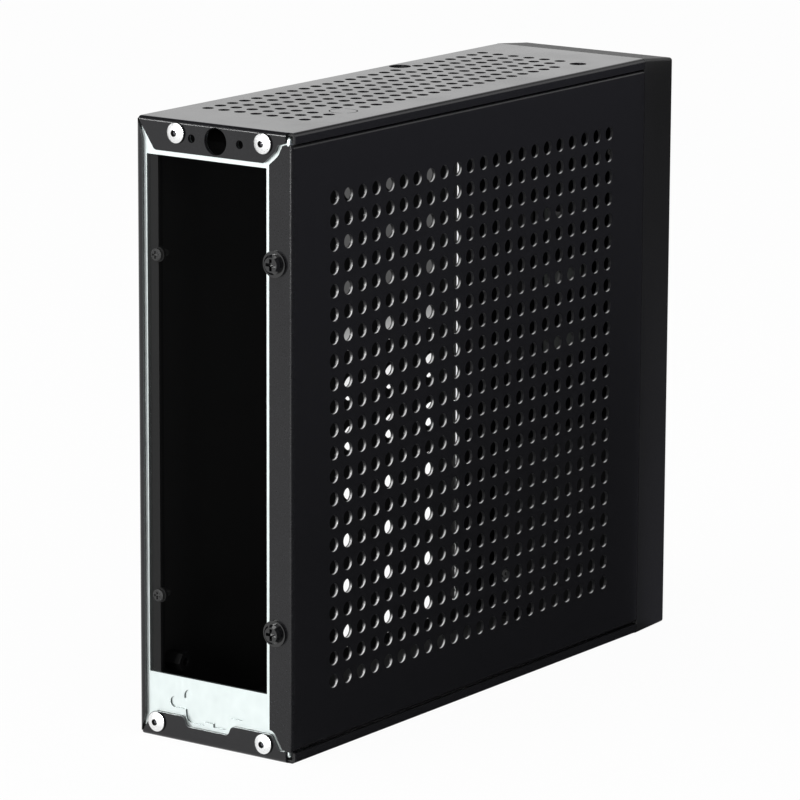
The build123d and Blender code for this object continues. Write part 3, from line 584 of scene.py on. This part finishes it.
def add_flag():
    """Dark studio flag beside and under the cover. Only reflections see it."""
    x = cad_low[0] - 0.007
    under_x = cad_low[0] + 0.0005
    front = -0.5
    back = 0.12
    low = 0.0002
    top = cad_high[2]
    panel_y = -0.097
    dark_until = 0.06
    cover_glow = 0.1
    panel_glow = 0.16
    corners = [
        (x, front, low), (x, back, low), (x, back, top), (x, front, top),
        (under_x, front, low), (under_x, back, low),
    ]
    material, tree, shader = new_material("flag")
    shader.inputs["Base Color"].default_value = (0.02, 0.02, 0.02, 1.0)
    shader.inputs["Roughness"].default_value = 1.0
    shader.inputs["Emission Color"].default_value = (0.8, 0.8, 1.0, 1.0)
    _, along, height = split(tree, coordinates(tree))
    by_cover = spread(tree, height, 0.0, cover_glow, dark_until, top)
    by_panel = spread(tree, height, panel_glow, 0.0, 0.0, top)
    at_panel = calculate(tree, "LESS_THAN", along, panel_y)
    glow = mix_numbers(tree, at_panel, by_cover, by_panel)
    tree.links.new(glow, shader.inputs["Emission Strength"])
    flag = add_mesh("flag", corners, [(0, 1, 2, 3), (0, 1, 5, 4)], material)
    flag.visible_camera = False
    flag.visible_diffuse = False
    flag.visible_shadow = False
    flag.visible_transmission = False


def add_card():
    """Card beyond the tray's vents, glowing white at its foot and grey above as a painted shadow
    of the case on the backdrop, seen only from within the case.
    """
    x = cad_high[0] + 0.0006
    front = -0.064
    rear = 0.0015
    low = 0.08
    high = 0.175
    white_until = 0.086
    grey_from = 0.114
    painted_shadow_level = 0.09
    corners = [(x, front, low), (x, rear, low), (x, rear, high), (x, front, high)]
    material, tree, output = empty_material("card")
    grey = tree.nodes.new("ShaderNodeEmission")
    height = split(tree, coordinates(tree))[2]
    # Painted shadow: the glow falls from white to grey up the card
    glow = spread(tree, height, 1.0, painted_shadow_level, white_until, grey_from)
    tree.links.new(glow, grey.inputs["Strength"])
    clear = tree.nodes.new("ShaderNodeBsdfTransparent")
    side = tree.nodes.new("ShaderNodeNewGeometry")
    surface = mix_shaders(
        tree, side.outputs["Backfacing"], clear.outputs["BSDF"], grey.outputs["Emission"]
    )
    tree.links.new(surface, output.inputs["Surface"])
    card = add_mesh("card", corners, [(0, 1, 2, 3)], material)
    card.visible_diffuse = False
    card.visible_glossy = False
    card.visible_shadow = False
    card.visible_transmission = False


def add_world():
    """White backdrop with a soft grey light from all round, and a dark ceiling in reflections."""
    ceiling_start = 0.45
    ceiling_full = 0.6
    world = bpy.data.worlds.new("studio")
    scene.world = world
    world.use_nodes = True
    tree = world.node_tree
    tree.nodes.clear()
    output = tree.nodes.new("ShaderNodeOutputWorld")
    lit = tree.nodes.new("ShaderNodeBackground")
    lit.inputs["Color"].default_value = (1.0, 1.0, 1.0, 1.0)
    lit.inputs["Strength"].default_value = 0.55
    backdrop = white_to_the_eye(tree, lit.outputs["Background"], "ShaderNodeBackground")
    dark = tree.nodes.new("ShaderNodeBackground")
    dark.inputs["Strength"].default_value = 0.03
    direction = tree.nodes.new("ShaderNodeTexCoord").outputs["Generated"]
    height = split(tree, direction)[2]
    path = tree.nodes.new("ShaderNodeLightPath")
    above = spread(tree, height, 0.0, 1.0, ceiling_start, ceiling_full)
    ceiling = calculate(tree, "MULTIPLY", above, path.outputs["Is Glossy Ray"])
    surface = mix_shaders(tree, ceiling, backdrop, dark.outputs["Background"])
    tree.links.new(surface, output.inputs["Surface"])


def add_lamp(name, place, target, size, power):
    """Soft square lamp."""
    data = bpy.data.lights.new(name, "AREA")
    data.shape = "SQUARE"
    data.size = size
    data.energy = power
    lamp = bpy.data.objects.new(name, data)
    direction = Vector(target) - Vector(place)
    lamp.rotation_euler = direction.to_track_quat("-Z", "Y").to_euler()
    lamp.location = place
    scene.collection.objects.link(lamp)
    return lamp


def add_lamps():
    """Key above the rear, fill beside the cover, and two lamps that only reflections see."""
    middle = (0, 0, 0.1)
    top_edge = (0, 0.1, 0.19)
    add_lamp("key", (0.4, 1.3, 1.5), middle, 1.2, 14.0)
    fill = add_lamp("fill", (-1.4, 0.6, 0.9), middle, 1.0, 6.0)
    fill.visible_glossy = False
    rear = add_lamp("rear", (-0.09, 1.6, 0.35), middle, 0.5, 40.0)
    rear.visible_diffuse = False
    edge = add_lamp("edge", (0.91, 1.35, 0.59), top_edge, 0.25, 6.0)
    edge.visible_diffuse = False


add_camera()
paint_nodes()
round_shading()
add_rail_hem()
add_floor()
add_flag()
add_card()
add_world()
add_lamps()
scene.view_settings.view_transform = "Standard"
